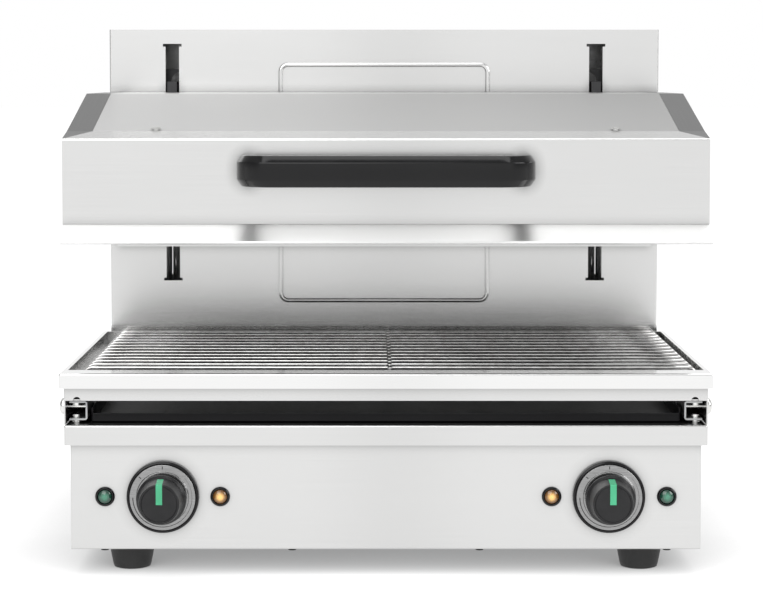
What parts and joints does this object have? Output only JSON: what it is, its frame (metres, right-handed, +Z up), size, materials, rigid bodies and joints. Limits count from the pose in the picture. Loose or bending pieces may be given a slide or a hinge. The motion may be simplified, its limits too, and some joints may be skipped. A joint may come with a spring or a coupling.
{
  "type": "rise-and-fall salamander grill",
  "caption": "Countertop salamander grill: a heated hood slides up and down the front of a hollow column over a wire grate and control box.",
  "frame": {"origin": "on the floor under the middle of the whole grill", "axes": "+X to the viewer's right along the width, -Y towards the cook, +Z up"},
  "size_m": [0.616, 0.56, 0.5172],
  "materials": {
    "brushed_stainless": "brushed stainless steel sheet, fine horizontal grain",
    "polished_stainless": "polished stainless steel sheet",
    "galvanised_sheet": "plain galvanised sheet, hidden faces",
    "black_enamel": "black heat-resistant enamel",
    "chromed_wire": "nickel-chromed round steel wire",
    "bright_steel": "ground and polished steel rod",
    "zinc_screws": "bright zinc-plated screws and bolts",
    "black_rubber": "soft black rubber",
    "black_plastic": "satin black thermoset plastic",
    "gloss_black_plastic": "glossy black thermoset plastic",
    "dial_aluminium": "horizontally brushed aluminium disc",
    "pointer_green": "mint green printed insert",
    "lamp_green": "deep green translucent plastic",
    "lamp_amber": "amber translucent plastic",
    "nylon": "cream nylon",
    "bronze": "oil-filled bronze",
    "ceramic_wool": "off-white ceramic fibre blanket",
    "element_sheath": "heat-darkened nickel alloy tube",
    "aluminised_steel": "bright aluminised steel sheet"
  },
  "bodies": {
    "stand": {"base_front_panel": "brushed_stainless", "base_shell": "brushed_stainless", "base_bottom": "galvanised_sheet", "base_cover": "brushed_stainless", "foot_front_left": "black_rubber", "foot_front_right": "black_rubber", "foot_rear_left": "black_rubber", "foot_rear_right": "black_rubber", "foot_screws": "zinc_screws", "base_screws": "zinc_screws", "dial_bezels": "black_plastic", "left_dial": "dial_aluminium", "right_dial": "dial_aluminium", "left_regulator": "nylon", "right_regulator": "nylon", "lamp_bezels": "gloss_black_plastic", "green_lenses": "lamp_green", "amber_lenses": "lamp_amber", "lamp_bodies": "nylon", "terminal_block": "nylon", "cable_gland": "black_plastic", "side_channels": "galvanised_sheet", "channel_screws": "zinc_screws", "channel_collars": "zinc_screws", "side_studs": "zinc_screws", "tray_guides": "galvanised_sheet", "frame_support": "brushed_stainless", "top_frame": "polished_stainless", "column_front": "brushed_stainless", "column_back": "brushed_stainless", "column_cap": "brushed_stainless", "rod_blocks": "galvanised_sheet", "guide_rods": "bright_steel", "gas_spring_rods": "bright_steel"},
    "head": {"gas_spring_tubes": "black_enamel", "carriages": "black_enamel", "guide_bushes": "bronze", "carriage_bolts": "zinc_screws", "head_arms": "black_enamel", "head_front": "brushed_stainless", "head_roof": "brushed_stainless", "head_left_side": "brushed_stainless", "head_right_side": "brushed_stainless", "head_visor": "polished_stainless", "head_back": "brushed_stainless", "reflector": "aluminised_steel", "insulation_pad": "ceramic_wool", "left_element": "element_sheath", "right_element": "element_sheath", "element_supports": "galvanised_sheet", "handle": "gloss_black_plastic", "head_screws": "zinc_screws"},
    "left_control": {"left_knob": "black_plastic", "left_pointer": "pointer_green", "left_spindle": "bright_steel"},
    "right_control": {"right_knob": "black_plastic", "right_pointer": "pointer_green", "right_spindle": "bright_steel"},
    "tray": {"drip_tray": "black_enamel"},
    "wire_grate": {"grate": "chromed_wire"}
  },
  "joints": [
    {"name": "head_lift", "type": "slide", "parent": "stand", "child": "head", "axis": [0, 0, 1], "range_m": [-0.084, 0.037]},
    {"name": "left_knob_turn", "type": "hinge", "parent": "stand", "child": "left_control", "pos_m": [-0.2085, -0.25, 0.075], "axis": [0, 1, 0], "range_deg": [0, 270]},
    {"name": "right_knob_turn", "type": "hinge", "parent": "stand", "child": "right_control", "pos_m": [0.2085, -0.25, 0.075], "axis": [0, 1, 0], "range_deg": [0, 270]},
    {"name": "tray_slide", "type": "slide", "parent": "stand", "child": "tray", "axis": [0, -1, 0], "range_m": [0, 0.3]},
    {"name": "grate_lift", "type": "slide", "parent": "stand", "child": "wire_grate", "axis": [0, 0, 1], "range_m": [0, 0.05]}
  ]
}
